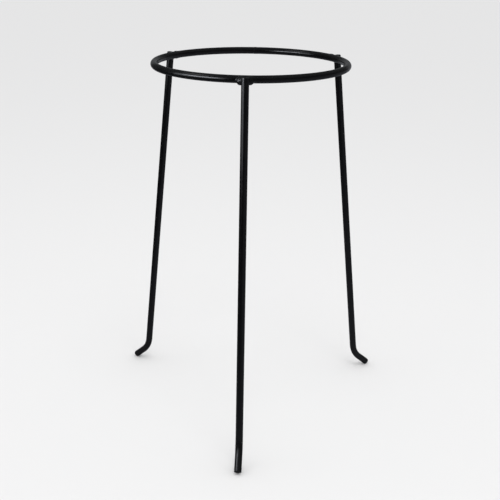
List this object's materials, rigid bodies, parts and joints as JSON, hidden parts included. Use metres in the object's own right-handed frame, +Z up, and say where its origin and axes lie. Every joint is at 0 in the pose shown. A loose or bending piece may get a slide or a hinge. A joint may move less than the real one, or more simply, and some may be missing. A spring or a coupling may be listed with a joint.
{
  "type": "tripod ring stand",
  "caption": "Welded black round-bar stand: an open ring carried on splayed bar legs with outward-kicked feet, holding a bucket, pot or feeder clear of the ground.",
  "frame": {"origin": "on the ground, straight below the centre of the ring", "axes": "+Z up along the ring's axis, front leg toward -Y, right-hand rear leg toward +X and +Y"},
  "size_m": [0.4662, 0.4384, 0.6148],
  "materials": {
    "black_paint": "semi-gloss black powder coat over bare steel, welds painted over"
  },
  "bodies": {
    "root": {"ring": "black_paint", "ring_seam_weld": "black_paint", "leg_front": "black_paint", "leg_rear_left": "black_paint", "leg_rear_right": "black_paint", "weld_front_left": "black_paint", "weld_front_right": "black_paint", "weld_rear_left_left": "black_paint", "weld_rear_left_right": "black_paint", "weld_rear_right_left": "black_paint", "weld_rear_right_right": "black_paint"}
  },
  "joints": []
}
